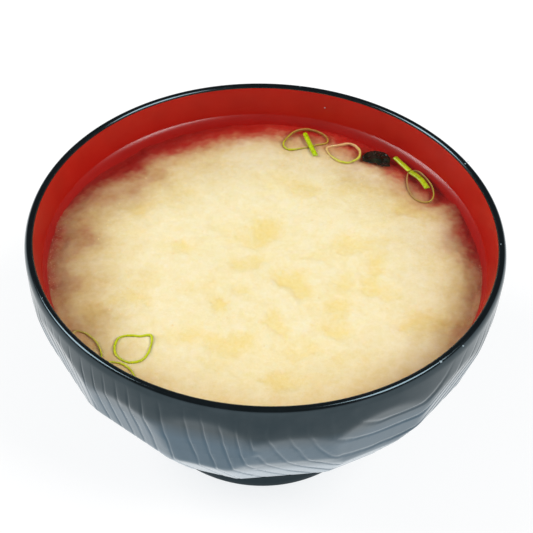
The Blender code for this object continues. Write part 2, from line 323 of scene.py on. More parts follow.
def pith_distance(points):
    """Distance from the pith line, with the small wander that real rings have."""
    away = points - PITH
    away = away - np.outer(away @ PITH_WAY, PITH_WAY)
    bearing = np.arctan2(points[:, 0], -points[:, 1]) * RIM_R
    wander = swells(bearing, points[:, 2], (0.30 * MM, 9 * MM, 3), (0.16 * MM, 3.4 * MM, 4))
    return np.linalg.norm(away, axis=1) + wander


bm = bmesh.new()
bm.from_mesh(body_mesh)
place = bm.verts.layers.float_vector.new("place")
reach = bm.verts.layers.float.new("reach")
points = places(body_mesh)
distances = pith_distance(points)
hewn_first = 1 + hewn_start * COLUMNS
hewn_last = 1 + (hewn_end + 1) * COLUMNS
for v, point, distance in zip(bm.verts, points, distances):
    v[place] = point
    v[reach] = distance
    row, column = divmod(v.index - 1, COLUMNS)
    v.co = (distance, column * MM, row * MM)
is_hewn = bm.faces.layers.int.new("hewn")
for f in bm.faces:
    columns = [v.co.y for v in f.verts]
    # the column where the count starts again would be stretched right across, so it stays uncut
    f[is_hewn] = (all(hewn_first <= v.index < hewn_last for v in f.verts)
                  and max(columns) - min(columns) < 2 * MM)


def reaching(faces, low, high):
    """Those of the faces that reach below high and above low."""
    return [f for f in faces if min(v.co.x for v in f.verts) < high and max(v.co.x for v in f.verts) > low]


for ring in rings:
    strip = reaching((f for f in bm.faces if f[is_hewn]), ring - GROOVE_HALF, ring + GROOVE_HALF)
    for offset in (-1.0, -0.5, 0.0, 0.5, 1.0):
        level = ring + offset * GROOVE_HALF
        near = reaching(strip, level, level)
        if near:
            edges = {e for f in near for e in f.edges}
            verts = {v for f in near for v in f.verts}
            cut = bmesh.ops.bisect_plane(bm, geom=[*verts, *edges, *near], dist=1e-7,
                                         plane_co=(level, 0, 0), plane_no=(1, 0, 0))
            known = set(strip)
            strip += [f for f in cut["geom"] if isinstance(f, bmesh.types.BMFace) and f not in known]
for v in bm.verts:
    v.co = v[place]
bm.to_mesh(body_mesh)
bm.free()

distances = np.empty(len(body_mesh.vertices))
body_mesh.attributes["reach"].data.foreach_get("value", distances)
points = places(body_mesh)
azimuth = np.arctan2(points[:, 0], -points[:, 1])
out = np.hypot(points[:, 0], points[:, 1])
level = points[:, 2]
nearest = np.min(np.abs(distances[:, None] - rings[None, :]), axis=1)
groove = np.where(nearest < GROOVE_HALF, 0.5 + 0.5 * np.cos(math.pi * nearest / GROOVE_HALF), 0.0)
groove *= 0.78 + 0.3 * swell(azimuth * RIM_R, level, 14 * MM, 5)
groove *= (level > GROOVE_FOOT) & (out > foot_radius(level) + 0.01 * MM)
groove *= out > hewn_radius(azimuth, level) - 0.5 * MM  # not on the inside
groove *= np.clip((GROOVE_TOP - level) / GROOVE_FADE, 0, 1)
foot_joint = np.interp(azimuth, around, join_z, period=2 * math.pi)
groove *= np.clip((level - foot_joint) / FOOT_FADE, 0, 1)
for name in ("place", "reach", "hewn"):
    body_mesh.attributes.remove(body_mesh.attributes[name])
store(body_mesh, "groove", groove)


def rgb(red, green, blue):
    """Linear colour of a paint chip given as 0 to 255 in each channel."""
    return tuple((c / 255 / 12.92 if c / 255 <= 0.04045 else ((c / 255 + 0.055) / 1.055) ** 2.4)
                 for c in (red, green, blue)) + (1.0,)


def feed(tree, node, inputs):
    """Set a node's sockets to values, or link them to other nodes' outputs."""
    for key, value in inputs.items():
        if isinstance(value, bpy.types.NodeSocket):
            tree.links.new(value, node.inputs[key])
        else:
            node.inputs[key].default_value = value


def place_node(tree, kind, inputs=None, **settings):
    """Add a node, set it, and feed its sockets."""
    made = tree.nodes.new(kind)
    for key, value in settings.items():
        setattr(made, key, value)
    feed(tree, made, inputs or {})
    return made


def new_finish(name):
    """A material, its node tree and its Principled shader."""
    made = bpy.data.materials.new(name)
    made.use_nodes = True
    return made, made.node_tree, made.node_tree.nodes["Principled BSDF"]


def scatter(tree, scale, detail=2.0, stretch=(1.0, 1.0, 1.0)):
    """Noise over the object's own space, scale in swells to a metre."""
    spot = place_node(tree, "ShaderNodeTexCoord")
    turned = place_node(tree, "ShaderNodeMapping", {"Vector": spot.outputs["Object"], "Scale": stretch})
    return place_node(tree, "ShaderNodeTexNoise", {
        "Vector": turned.outputs["Vector"], "Scale": scale, "Detail": detail}).outputs["Fac"]


def blend(tree, share, first, second, how="MIX"):
    """Mix two colours by a share. Each of the three is a value or an output."""
    return place_node(tree, "ShaderNodeMix", {0: share, 6: first, 7: second}, data_type="RGBA",
                      blend_type=how).outputs[2]


def ramp(tree, value, low, high, low_out=0.0, high_out=1.0):
    """Map a value from one range to another, clamped."""
    return place_node(tree, "ShaderNodeMapRange", {
        "Value": value, "From Min": low, "From Max": high,
        "To Min": low_out, "To Max": high_out}).outputs["Result"]


def dapple(tree, noise, first, second, low=0.35, high=0.65):
    """Two colours that change over with a noise."""
    return blend(tree, ramp(tree, noise, low, high), first, second)


def relief(tree, height, strength, distance, **under):
    """Normals of a fine relief, over another one if that is given."""
    return place_node(tree, "ShaderNodeBump", {
        "Height": height, "Strength": strength, "Distance": distance, **under}).outputs["Normal"]


# The lacquer mirrors what it faces, more strongly the flatter it is looked at. The shares are those seen
# straight on, in a darker and a lighter tone of each zone.
# The zones show at a slant. The hewn zone's raised, bluer shares and the low zone's far higher ones are painted
# reflection: a bright, bluish reflection of the floor on the lower facets.
BLACKS = {
    "plain": ((0.028, 0.041, 0.049), (0.034, 0.047, 0.055)),
    "foot": ((0.021, 0.033, 0.040), (0.025, 0.037, 0.044)),
    "low": ((0.345, 0.405, 0.465), (0.370, 0.430, 0.490)),
    "hewn": ((0.046, 0.088, 0.124), (0.054, 0.098, 0.138)),
    "band": ((0.030, 0.046, 0.055), (0.036, 0.052, 0.061)),
    "lip": ((0.042, 0.058, 0.066), (0.050, 0.068, 0.078)),
}
black_lacquer, tree, shader = new_finish("black_lacquer")
brushed = scatter(tree, 260, 3.0)
grime = scatter(tree, 1400, 2.0)
spot = place_node(tree, "ShaderNodeTexCoord").outputs["Object"]
height = place_node(tree, "ShaderNodeSeparateXYZ", {"Vector": spot}).outputs["Z"]
flatness = place_node(tree, "ShaderNodeLayerWeight", {"Blend": 0.5}).outputs["Facing"]
black = {zone: dapple(tree, brushed, (*dark, 1.0), (*light, 1.0)) for zone, (dark, light) in BLACKS.items()}
# painted reflection: on the lowest facets, seen at a grazing slant, the low zone's bright shares take over
low = blend(tree, ramp(tree, flatness, 0.64, 0.82), black["hewn"], black["low"])
side = blend(tree, ramp(tree, height, 33 * MM, 38 * MM), low, black["hewn"])
side = blend(tree, ramp(tree, height, 7 * MM, 9 * MM), black["foot"], side)
side = blend(tree, ramp(tree, height, 48 * MM, 55 * MM), side, black["band"])
# straight on the plain shares show; at a slant the zones take over, which paints reflection in the hewn and low
# zones
side = blend(tree, ramp(tree, flatness, 0.22, 0.48), black["plain"], side)
feed(tree, shader, {
    "Base Color": blend(tree, ramp(tree, height, 61.5 * MM, 63.2 * MM), side, black["lip"]),
    "Roughness": ramp(tree, brushed, 0.3, 0.7, 0.12, 0.18),
    "Metallic": 1.0, "Specular Tint": (0.96, 0.99, 1.0, 1.0),
    "Normal": relief(tree, grime, 0.05, 0.04 * MM)})


def make_tree(name, sockets):
    """An empty Geometry Nodes tree with a mesh in and out and the named inputs."""
    made = bpy.data.node_groups.new(name, "GeometryNodeTree")
    made.interface.new_socket("Geometry", in_out="INPUT", socket_type="NodeSocketGeometry")
    made.interface.new_socket("Geometry", in_out="OUTPUT", socket_type="NodeSocketGeometry")
    for label, kind, value in sockets:
        socket = made.interface.new_socket(label, in_out="INPUT", socket_type=kind)
        socket.default_value = value
    return made, made.nodes.new("NodeGroupInput"), made.nodes.new("NodeGroupOutput")


def close_tree(made, geometry, finish, out):
    """Realize what a tree made, give it its material, and pass it out."""
    real = place_node(made, "GeometryNodeRealizeInstances", {"Geometry": geometry})
    dressed = place_node(made, "GeometryNodeSetMaterial", {
        "Geometry": real.outputs["Geometry"], "Material": finish})
    made.links.new(dressed.outputs["Geometry"], out.inputs["Geometry"])


def maths(tree, operation, first, second):
    """Work out two numbers, each a value or an output."""
    return place_node(tree, "ShaderNodeMath", {0: first, 1: second}, operation=operation).outputs[0]


def run_tree(holder, made, values):
    """Run a tree on an object with inputs given by name, and keep the result as its plain mesh."""
    step = holder.modifiers.new(made.name, "NODES")
    step.node_group = made
    for item in made.interface.items_tree:
        if item.item_type == "SOCKET" and item.in_out == "INPUT" and item.name in values:
            step[item.identifier] = values[item.name]
    view = bpy.context.evaluated_depsgraph_get()
    mesh = bpy.data.meshes.new_from_object(holder.evaluated_get(view))
    holder.modifiers.remove(step)
    mesh.name = holder.name
    holder.data = mesh


grain, grain_in, grain_out = make_tree("sunken_grain", [("Depth", "NodeSocketFloat", 0.1 * MM)])
share = place_node(grain, "GeometryNodeInputNamedAttribute", {"Name": "groove"}, data_type="FLOAT")
inward = maths(grain, "MULTIPLY", share.outputs["Attribute"], grain_in.outputs["Depth"])
inward = maths(grain, "MULTIPLY", inward, -1.0)
facing = place_node(grain, "GeometryNodeInputNormal")
push = place_node(grain, "ShaderNodeVectorMath", {
    0: facing.outputs["Normal"], "Scale": inward}, operation="SCALE")
moved = place_node(grain, "GeometryNodeSetPosition", {
    "Geometry": grain_in.outputs["Geometry"], "Offset": push.outputs["Vector"]})
close_tree(grain, moved.outputs["Geometry"], black_lacquer, grain_out)

body = finished("bowl_body", body_mesh)
run_tree(body, grain, {"Depth": GROOVE_DEEP})
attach(body, "root")
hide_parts("bowl")

# ---- red lining
# The inside of the bowl, lacquered red up to the lip's inner edge: a thin smooth coat that the
# brush has left very slightly uneven.

COAT = 0.3 * MM
inner = list(hollow(26))[-2::-1] + wall_over_soup(0.12, 0.25, 0.4, 0.55, 0.7, 0.85, 0.99)
crown = [(INNER_TOP + 0.05 * MM, RIM_Z + 0.06 * MM), (INNER_TOP + 0.16 * MM, RIM_Z + 0.04 * MM)]
lining_rows = inner + crown + thicker(inner, COAT)[::-1]
lining = finished("bowl_lining", mesh_of("bowl_lining", *revolve(lining_rows, FLOOR_Z, FLOOR_Z - COAT)))

red_lacquer, tree, shader = new_finish("red_lacquer")
brushed = scatter(tree, 120, 3.0)
flaw = scatter(tree, 1500, 2.0)
brush_marks = relief(tree, brushed, 0.12, 0.3 * MM)
feed(tree, shader, {
    "Base Color": dapple(tree, brushed, rgb(172, 20, 12), rgb(181, 25, 15), 0.3, 0.7),
    "Roughness": ramp(tree, brushed, 0.3, 0.7, 0.28, 0.34),
    "Specular IOR Level": 0.24,
    "Normal": relief(tree, flaw, 0.05, 0.04 * MM, Normal=brush_marks)})
lining.data.materials.append(red_lacquer)
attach(lining, "root")
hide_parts("bowl")

# ---- miso cloud
# Soybean paste that has risen in the broth and hangs there as a soft, curdled cloud. It is thick and
# pale in the middle, sinks in yellower hollows, and frays out, tan and thin, before the wall.

CLOUD_COLUMNS = 600
CLOUD_ROWS = 118
CLOUD_R = SOUP_R + 0.25 * MM
CLOUD_UNDER = 0.35 * MM  # clear broth over the thickest part
CLOUD_SIDE_TOP = 46 * MM  # its sides start here, under the frayed edge
CLOUD_IN_WALL = 0.12 * MM  # and reach this far into the lining
CLOUD_IN_FLOOR = 0.1 * MM
THINNEST = 4.0  # a thin place looks no thinner than the cloud does this far in, in millimetres
# where the cloud frays out: degrees from +X towards +Y, and millimetres from the middle
FRAY = [(3.5, 51.1), (8.4, 50.1), (12.0, 49.8), (17.5, 51.3), (23.0, 52.2), (25.5, 49.1), (31.0, 48.5),
        (36.1, 47.0), (39.8, 47.8), (45.0, 47.1), (56.0, 46.0), (62.4, 47.9), (69.3, 48.7), (78.1, 49.0),
        (84.0, 49.0), (90.0, 49.2), (96.1, 47.2), (102.3, 47.5), (109.2, 47.1), (116.3, 46.6), (123.3, 46.4),
        (130.2, 48.1), (138.6, 46.3), (143.6, 46.8), (149.8, 49.2), (156.5, 51.6), (165.1, 52.8), (172.0, 53.7),
        (176.3, 51.2), (182.3, 52.3), (187.8, 53.9), (194.9, 52.1), (199.8, 54.2), (206.0, 56.2), (218.0, 58.8),
        (320.0, 57.9), (331.0, 57.2), (338.2, 56.2), (342.6, 56.5), (346.8, 55.1), (351.2, 55.1), (355.5, 53.7)]
# hollows: middle, half width, half depth, turn in degrees, and how deep from 0 to 1
HOLLOWS = [(0, 9, 4.2, 4.6, 0, 1.0), (-4, 4, 6.0, 2.4, 0, 0.55), (-5, -4, 3.4, 2.0, 20, 0.7),
           (-21, 1, 3.4, 2.0, 0, 0.65), (-11, 9, 3.0, 2.4, 0, 0.35), (-31, 15, 3.8, 3.0, 30, 0.6),
           (-33, 7, 2.6, 2.0, 0, 0.3), (9, 24, 3.8, 2.6, -20, 0.6), (1, 27, 8.0, 3.4, 0, 0.35),
           (22, 25, 5.0, 2.6, 0, 0.4), (21, 4, 3.8, 3.4, 0, 0.8), (29, 6, 3.0, 2.2, 30, 0.5),
           (27, -5, 2.8, 5.6, -10, 0.85), (26, -11, 2.4, 2.0, 0, 0.5), (11, -1, 5.0, 1.6, 0, 0.5),
           (6, -8, 4.2, 2.4, -10, 0.85), (9, -12, 3.0, 2.6, 0, 0.75), (19, -9, 2.2, 3.0, 0, 0.7),
           (31, -12, 2.2, 1.8, 0, 0.45), (-11, -17, 2.2, 2.4, 0, 0.85), (-15, -12, 4.0, 2.6, 0, 0.35),
           (-5, -12, 2.8, 1.5, 0, 0.45), (-28, -10, 4.6, 2.6, 20, 0.45), (-31, -16, 3.6, 1.8, 0, 0.6),
           (-18, -28, 4.8, 2.8, 10, 0.6), (-8, -30, 5.6, 3.4, -10, 0.8), (3.5, -24, 1.8, 5.0, 15, 0.7),
           (16, -18, 3.4, 3.2, 0, 0.8), (17, -25, 4.6, 2.2, -10, 0.75), (9, -32, 4.4, 2.6, 20, 0.5),
           (19, -34, 6.5, 2.6, 15, 0.35), (4, -41, 4.6, 2.6, 0, 0.8), (-10, -36, 3.0, 2.0, 0, 0.35),
           (40.5, -20.5, 4.6, 3.0, 0, 0.8), (34, -22, 2.6, 2.0, 0, 0.65), (-40, -21, 4.4, 2.6, 0, 0.6),
           (37, 17, 5.0, 2.4, -10, 0.75), (32, 25, 4.0, 2.4, -20, 0.35), (-24, 20, 5.0, 3.0, 20, 0.3)]
# brown, thin places: middle, radius and strength
THIN = [(-46.5, 3, 4.0, 0.55), (-48, -13.5, 3.6, 0.7), (-43.5, 1, 4.5, 0.2), (-36, 30, 4.5, 0.5),
        (48.5, 6, 3.4, 0.95), (-30, 31, 5.0, 0.35), (-41, 10, 5.0, 0.3), (42.5, 21, 4.0, 0.4),
        (-42, -26, 5.0, 0.3), (-36, -35, 5.0, 0.2), (46, -22, 5.0, 0.35), (-36, 19, 6.0, 0.5),
        (-37, -25, 6.0, 0.35), (-34, -18, 8.0, 0.25), (-41, -3, 8.0, 0.2), (-32, 24, 8.0, 0.2),
        (9, 46, 5.0, 0.45), (21, 41, 3.2, 0.5), (41, 27, 4.0, 0.6)]
# milky, paler places
MILK = [(-5, 38, 8.0, 0.9), (12, 34, 6.0, 0.7), (23, 34, 5.0, 0.6), (41, 8, 7.0, 0.8), (33, 31, 6.0, 0.5),
        (-20, 33, 7.0, 0.25), (38, -8, 7.0, 0.5), (-34, 20, 6.0, 0.3), (28, 35, 5.0, 0.4),
        (-42, -6, 5.0, 0.3), (34, -30, 8.0, 0.4)]
# where the garnish has pressed the cloud down, given as the hollows are
NESTS = [(10, 46, 7.6, 5.8, 15, 0.35), (20.5, 40.6, 6.0, 5.6, 0, 0.35), (40.3, 27.2, 4.6, 7.4, 0, 0.4),
         (29.5, 38, 4.6, 4.0, 0, 0.3), (-29, -32.6, 5.4, 5.2, 0, 0.02), (-39.5, -32, 5.0, 5.4, 0, 0.1)]


def lobe(x, y, middle_x, middle_y, wide, deep, turn, strength):
    """A soft-edged oval patch, in millimetres."""
    c, s = math.cos(math.radians(turn)), math.sin(math.radians(turn))
    a, b = (x - middle_x) * c + (y - middle_y) * s, (y - middle_y) * c - (x - middle_x) * s
    off = (a / wide) ** 2 + (b / deep) ** 2
    return strength / (1 + off**2.2)


rows = (np.arange(1, CLOUD_ROWS + 1) / CLOUD_ROWS) ** 0.8 * CLOUD_R
bearing = np.arange(CLOUD_COLUMNS) * 2 * math.pi / CLOUD_COLUMNS
flat_x = np.outer(rows, np.cos(bearing)).ravel() / MM
flat_y = np.outer(rows, np.sin(bearing)).ravel() / MM
flat_x, flat_y = np.append(flat_x, 0.0), np.append(flat_y, 0.0)
out = np.hypot(flat_x, flat_y)
angle = np.degrees(np.arctan2(flat_y, flat_x)) % 360
warp_x = swells(flat_x, flat_y, (1.3, 5.0, 11), (0.9, 2.2, 12), (0.5, 0.9, 13))
warp_y = swells(flat_x, flat_y, (1.3, 5.0, 14), (0.9, 2.2, 15), (0.5, 0.9, 16))
near_x, near_y = flat_x + warp_x, flat_y + warp_y
fray = np.interp(angle, [a for a, _ in FRAY], [r for _, r in FRAY], period=360)
comb = swells(angle * 0.82, out * 0.25, (1.0, 1.1, 21), (0.5, 2.4, 22))
inside = (fray - out + 0.25 * comb + 0.45 * swell(flat_x, flat_y, 1.5, 23)
          + 0.25 * swell(flat_x, flat_y, 0.75, 27) + 0.4 * warp_x)  # millimetres in from the fray
hollows = np.clip(sum(lobe(near_x, near_y, *h) for h in HOLLOWS), 0, 1.15)
hollows = np.clip(hollows + 0.18 * swell(flat_x, flat_y, 3.0, 24) + 0.12 * swell(flat_x, flat_y, 1.2, 25), 0, 1)
thin, milk = (sum(lobe(near_x, near_y, x, y, r, r, 0, s) for x, y, r, s in table) for table in (THIN, MILK))
milk = np.clip(milk, 0, 1)
# how thin each place is: it sinks the cloud there, and the finish paints shade on it
thinning_and_shade = np.clip(thin, 0, 1)
nest = sum(lobe(flat_x, flat_y, *n) for n in NESTS)
thinned = inside - np.clip(inside, 0, 14) * np.clip(0.7 * thin, 0, 0.8)
depth = np.maximum(thinned, np.minimum(inside, THINNEST))
depth += 1.6 * swell(flat_x, flat_y, 6.0, 26) * np.clip(inside / 8, 0.25, 1)
drop = 0.05 * np.maximum(5.5 - inside, 0) ** 1.6  # the edge hangs lower
curd = swells(flat_x, flat_y, (0.16, 4.5, 31), (0.10, 1.9, 32), (0.06, 0.9, 33))
cloud_z = SOUP_Z - CLOUD_UNDER + MM * (np.minimum(curd, 0.25) - 0.75 * hollows - drop - nest - 0.4 * thinning_and_shade)

spots = list(zip(flat_x * MM, flat_y * MM, cloud_z))
middle = len(spots) - 1
faces = [(middle, k, (k + 1) % CLOUD_COLUMNS) for k in range(CLOUD_COLUMNS)]


def join_rows(low, high, count):
    """Faces between two rings of points, given where each starts and how many points it has."""
    return [(low + k, high + k, high + (k + 1) % count, low + (k + 1) % count) for k in range(count)]


for row in range(CLOUD_ROWS - 1):
    faces += join_rows(row * CLOUD_COLUMNS, (row + 1) * CLOUD_COLUMNS, CLOUD_COLUMNS)
last = (CLOUD_ROWS - 1) * CLOUD_COLUMNS
for radius, height in list(hollow(14))[2:-1]:
    radius, height = radius + CLOUD_IN_WALL, height - CLOUD_IN_FLOOR
    if height < CLOUD_SIDE_TOP:
        start = len(spots)
        spots += [(radius * math.cos(b), radius * math.sin(b), height) for b in bearing]
        faces += join_rows(last, start, CLOUD_COLUMNS)
        last = start
spots.append((0.0, 0.0, FLOOR_Z - CLOUD_IN_FLOOR))
faces += [(last + (k + 1) % CLOUD_COLUMNS, last + k, len(spots) - 1) for k in range(CLOUD_COLUMNS)]
cloud_mesh = mesh_of("miso_cloud", spots, faces)
for name, values in (("hollow", hollows), ("depth", depth), ("milk", milk), ("thinning_and_shade", thinning_and_shade)):
    store(cloud_mesh, name, np.append(values, np.ones(len(spots) - len(values))))
cloud = finished("miso_cloud", cloud_mesh)


def stored(tree, name, output="Fac"):
    """What the mesh keeps under this name."""
    return place_node(tree, "ShaderNodeAttribute", attribute_name=name).outputs[output]


# colour of the cloud by how far in from its frayed edge, in millimetres
DEPTHS = [(-3.8, (165, 34, 26)), (-1.9, (167, 49, 38)), (0.3, (177, 98, 74)), (2.7, (188, 145, 107)),
          (6.6, (206, 183, 138)), (11.0, (221, 207, 167)), (17.0, (231, 222, 187)), (26.0, (239, 232, 200))]
miso, tree, shader = new_finish("miso_cloud")
depth = stored(tree, "depth")
curds = scatter(tree, 640, 4.0)
tone = scatter(tree, 160, 3.0)
torn = maths(tree, "ADD", ramp(tree, curds, 0.28, 0.72, -0.7, 0.7), depth)
torn = maths(tree, "ADD", torn, ramp(tree, tone, 0.3, 0.7, -0.7, 0.7))
first, last = DEPTHS[0][0], DEPTHS[-1][0]
shades = place_node(tree, "ShaderNodeValToRGB", {"Fac": ramp(tree, torn, first, last)})
while len(shades.color_ramp.elements) < len(DEPTHS):
    shades.color_ramp.elements.new(0.5)
for stop, (at, paint) in zip(shades.color_ramp.elements, DEPTHS):
    stop.position = (at - first) / (last - first)
    stop.color = rgb(*paint)
over = ramp(tree, depth, 1.0, 5.0)
outer = ramp(tree, depth, 3.0, 22.0, 1.0, 0.45)
share = maths(tree, "MULTIPLY", stored(tree, "hollow"), over)
colour = blend(tree, share, shades.outputs["Color"], (0.97, 0.89, 0.60, 1.0), "MULTIPLY")
share = maths(tree, "MULTIPLY", stored(tree, "milk"), over)
colour = blend(tree, ramp(tree, share, 0.0, 1.0, 0.0, 0.6), colour, rgb(228, 220, 196))
# painted shade: thin places are darkened towards grey, over the browner colour of thin paste
share = ramp(tree, stored(tree, "thinning_and_shade"), 0.3, 1.0, 0.0, 0.22)
colour = blend(tree, share, colour, (0.58, 0.60, 0.62, 1.0), "MULTIPLY")
for scale, detail, most, where, tint in (
        (2200, 2.0, 0.35, over, (0.96, 0.92, 0.80, 1.0)), (1000, 3.0, 0.6, over, (0.975, 0.95, 0.80, 1.0)),
        (330, 3.0, 0.9, outer, (0.955, 0.92, 0.78, 1.0))):
    share = maths(tree, "MULTIPLY", ramp(tree, scatter(tree, scale, detail), 0.40, 0.64, 0.0, most), where)
    colour = blend(tree, share, colour, tint, "MULTIPLY")
feed(tree, shader, {
    "Base Color": colour, "Roughness": 0.75, "IOR": 1.35, "Specular IOR Level": 0.08,
    "Subsurface Weight": 0.35, "Subsurface Radius": (1.0, 0.7, 0.4), "Subsurface Scale": 1.6 * MM,
    "Normal": relief(tree, curds, 0.35, 0.25 * MM)})
cloud.data.materials.append(miso)
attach(cloud, "root")
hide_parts("soup")

# ---- broth
# The clear stock over and round the cloud. Its level top turns up against the lacquer in a narrow
# meniscus, and its sides reach just into the wall.

LIFT = 1.5 * MM
LIFT_REACH = 1.9 * MM
SKIN = 0.18 * MM
EDGE_R = SOUP_R + 0.12 * MM
# how far in from the wall each row of the top is, in millimetres
STEPS_IN = [-0.3, -0.2, -0.1, 0.0, 0.1, 0.2, 0.31, 0.43, 0.56, 0.7, 0.86, 1.04, 1.24, 1.46, 1.7, 2.0, 2.35,
            2.75, 3.2, 3.8, 4.6, 5.6, 7.0, 9.0, 14.0, 24.0, 36.0, 46.0]
top = [(EDGE_R - s * MM, SOUP_Z + LIFT * math.exp(-s * MM / LIFT_REACH)) for s in STEPS_IN]
lift_foot = [(SOUP_R + 0.3 * MM, SOUP_Z + LIFT * 0.5), (SOUP_R + SKIN, SOUP_Z - 0.2 * MM)]
broth_rows = top[::-1] + lift_foot + thicker(hollow(20), SKIN)[1:-1]
broth = finished("broth", mesh_of("broth", *revolve(broth_rows, SOUP_Z, FLOOR_Z - SKIN)))

clear_broth, tree, shader = new_finish("clear_broth")
ripple = scatter(tree, 160, 2.0)
feed(tree, shader, {
    "Base Color": dapple(tree, ripple, (1.0, 0.97, 0.93, 1.0), (1.0, 0.985, 0.96, 1.0), 0.3, 0.7),
    "Roughness": ramp(tree, ripple, 0.3, 0.7, 0.235, 0.26), "IOR": 1.45, "Transmission Weight": 1.0})
# the lamps' light, and what the cloud and the wall throw back, pass straight through it
way = place_node(tree, "ShaderNodeLightPath")
see_through = place_node(tree, "ShaderNodeBsdfTransparent", {"Color": (1.0, 0.975, 0.945, 1.0)}).outputs["BSDF"]
look = shader.outputs["BSDF"]
for ray in ("Is Diffuse Ray", "Is Shadow Ray"):
    mixed = place_node(tree, "ShaderNodeMixShader", {0: way.outputs[ray], 1: look, 2: see_through})
    look = mixed.outputs["Shader"]
feed(tree, tree.nodes["Material Output"], {"Surface": look})
broth.data.materials.append(clear_broth)
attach(broth, "root")
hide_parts("soup")

# ---- scallion rings
# Slices of scallion leaf, thin hollow loops that float on edge: a smooth green skin outside, paler
# and ribbed inside, with a bright cut rim. Those at the back have sunk under the surface.

RING_STEPS = 168
RING_WALL = 0.52 * MM
RING_TALL = 1.24 * MM
RING_EASE = 0.03 * MM  # how far the rounded ends of the section stop short of that
RING_WAVE = 0.05 * MM
RING_NICK = 0.09 * MM  # unevenness of the cut edge
SIDES = 14
RINGS = {  # outline from above in millimetres, height of the middle over the soup, rise to +X and
           # +Y, how dull the broth makes it, with what colour and towards which side, how stout the leaf
    "scallion_ring_back": (
        [(3.9, 43.6), (5.2, 40.8), (8.6, 41.5), (12.6, 43.2), (16.0, 44.9), (14.9, 48.4), (10.6, 50.5),
         (6.6, 48.8)],
        -0.74, (-0.03, -0.05), 0.55, (158, 112, 56), (0.2, 1.0), 1.15),
    "scallion_ring_teardrop": (
        [(15.8, 42.2), (17.2, 38.3), (20.8, 35.9), (24.2, 38.2), (24.7, 41.9), (22.4, 44.6), (18.8, 43.7)],
        -0.66, (0.0, -0.07), 0.6, (212, 172, 126), (-0.3, 1.0), 1.5),
    "scallion_ring_long": (
        [(37.5, 32.9), (39.9, 33.7), (42.1, 30.9), (43.6, 26.2), (42.9, 22.2), (40.6, 21.2), (38.0, 23.3),
         (36.9, 28.3)],
        -0.86, (0.04, 0.0), 0.7, (172, 134, 82), (-1.0, 0.6), 0.75),
    "scallion_ring_front": (
        [(-32.6, -29.7), (-30.4, -28.9), (-27.9, -29.0), (-25.4, -28.7), (-25.2, -32.2), (-26.4, -35.7),
         (-29.5, -36.9), (-32.5, -35.0), (-33.3, -32.2)],
        -0.40, (0.0, 0.0), -0.1, (190, 176, 60), (-1.0, 0.0), 1.1),
    "scallion_ring_wall": (
        [(-42.4, -28.1), (-40.2, -28.8), (-38.0, -30.7), (-36.6, -33.0), (-35.8, -35.4), (-36.8, -36.4),
         (-38.6, -35.0), (-40.6, -32.8), (-42.2, -30.9), (-43.3, -29.1)],
        -0.42, (0.04, 0.0), 0.6, (176, 156, 88), (-1.0, 1.0), 1.1),
    "scallion_ring_rim": (
        [(-33.5, -37.0), (-31.7, -37.2), (-30.1, -38.0), (-28.6, -39.5), (-27.8, -41.5), (-28.7, -43.0),
         (-30.9, -41.9), (-33.0, -40.1), (-34.3, -38.4)],
        -0.36, (0.0, 0.0), 0.2, (180, 160, 50), (-1.0, 0.0), 1.0),
}


def smooth_path(outline, count, closed):
    """Evenly spaced points, in metres, on a smooth curve through the given millimetres."""
    given = np.array(outline) * MM
    if not closed:
        given = np.vstack([2 * given[0] - given[1], given, 2 * given[-1] - given[-2]])
    spans = len(outline) if closed else len(outline) - 1
    fine = []
    for i in range(spans):
        a, b, c, d = (given[(i + j) % len(given)] for j in ((-1, 0, 1, 2) if closed else (0, 1, 2, 3)))
        t = np.linspace(0, 1, 24, endpoint=False)[:, None]
        fine.append(0.5 * (2 * b + (c - a) * t + (2 * a - 5 * b + 4 * c - d) * t**2
                           + (3 * b - a - 3 * c + d) * t**3))
    fine = np.vstack(fine + [fine[0][:1] if closed else given[-2][None]])
    run = np.concatenate([[0.0], np.cumsum(np.linalg.norm(np.diff(fine, axis=0), axis=1))])
    at = np.linspace(0, run[-1], count, endpoint=not closed)
    return np.column_stack([np.interp(at, run, fine[:, 0]), np.interp(at, run, fine[:, 1])]), run[-1]


def sweep_along(name, path, sections, closed):
    """A closed skin through one section of (across, height) for each point of a level path, with a
    UV map that runs along the path and round the section."""
    after = np.roll(path, -1, axis=0) if closed else np.vstack([path[1:], path[-1:]])
    before = np.roll(path, 1, axis=0) if closed else np.vstack([path[:1], path[:-1]])
    way = after - before
    way /= np.linalg.norm(way, axis=1)[:, None]
    across = np.column_stack([way[:, 1], -way[:, 0]])
    count, sides = sections.shape[:2]
    spots = np.empty((count, sides, 3))
    spots[:, :, :2] = path[:, None, :] + across[:, None, :] * sections[:, :, :1]
    spots[:, :, 2] = sections[:, :, 1]
    faces, marks = [], []
    for i in range(count if closed else count - 1):
        n = (i + 1) % count
        for k in range(sides):
            m = (k + 1) % sides
            faces.append((i * sides + k, i * sides + m, n * sides + m, n * sides + k))
            marks += [(i, k), (i, k + 1), (i + 1, k + 1), (i + 1, k)]
    spots = [tuple(p) for p in spots.reshape(-1, 3)]
    if not closed:
        for i in (0, count - 1):
            ring = [i * sides + k for k in range(sides)]
            spots.append(tuple(np.mean([spots[j] for j in ring], axis=0)))
            for k in range(sides):
                faces.append((ring[k], ring[(k + 1) % sides], len(spots) - 1))
                marks += [(i, k), (i, k + 1), (i, k + 0.5)]
    mesh = mesh_of(name, spots, faces)
    uv = mesh.uv_layers.new(name="along")
    uv.data.foreach_set("uv", [value for i, k in marks for value in (i / count, k / sides)])
    return finished(name, mesh)


